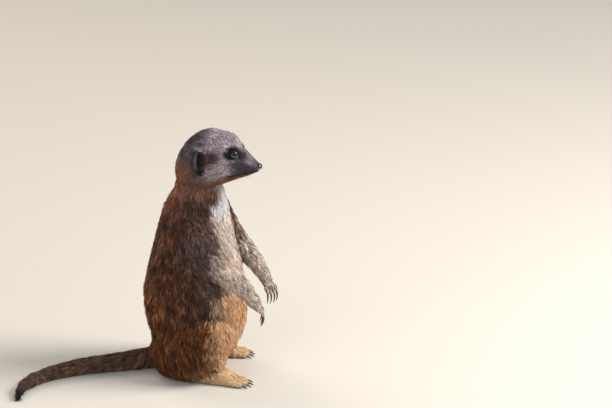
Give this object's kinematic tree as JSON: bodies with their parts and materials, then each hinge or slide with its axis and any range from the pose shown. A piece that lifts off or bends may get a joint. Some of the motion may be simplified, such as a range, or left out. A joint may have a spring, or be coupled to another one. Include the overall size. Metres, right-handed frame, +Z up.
{
  "type": "meerkat",
  "caption": "Life-size still model of a meerkat sitting upright on its haunches, fore paws hanging in front and tail laid along the floor.",
  "frame": {"origin": "middle of the flat under the rump, on the floor", "axes": "+Z up, the animal faces -Y, +X is its left side"},
  "size_m": [0.1862, 0.201, 0.226],
  "materials": {
    "coat_back": "dense ticked brown coat",
    "coat_head": "short grey-brown coat",
    "coat_pale": "soft cream coat",
    "coat_tail": "short coat, dark at the tip",
    "ear": "near-black skin with short hair",
    "eye": "wet dark brown",
    "nose": "moist black, finely pitted",
    "claw": "dark horn, worn smooth"
  },
  "bodies": {
    "root": {"trunk": "coat_back", "neck": "coat_back", "head": "coat_head", "nose": "nose", "eye_right": "eye", "ear_right": "ear", "upper_arm_right": "coat_back", "forearm_right": "coat_pale", "fore_paw_right": "coat_pale", "thigh_right": "coat_back", "shank_right": "coat_pale", "hind_foot_right": "coat_pale", "fore_claw_right_1": "claw", "fore_claw_right_2": "claw", "fore_claw_right_3": "claw", "fore_claw_right_4": "claw", "hind_claw_right_1": "claw", "hind_claw_right_2": "claw", "hind_claw_right_3": "claw", "hind_claw_right_4": "claw", "eye_left": "eye", "ear_left": "ear", "upper_arm_left": "coat_back", "forearm_left": "coat_pale", "fore_paw_left": "coat_pale", "thigh_left": "coat_back", "shank_left": "coat_pale", "hind_foot_left": "coat_pale", "fore_claw_left_1": "claw", "fore_claw_left_2": "claw", "fore_claw_left_3": "claw", "fore_claw_left_4": "claw", "hind_claw_left_1": "claw", "hind_claw_left_2": "claw", "hind_claw_left_3": "claw", "hind_claw_left_4": "claw", "tail_1": "coat_tail", "tail_2": "coat_tail", "tail_3": "coat_tail"}
  },
  "joints": []
}
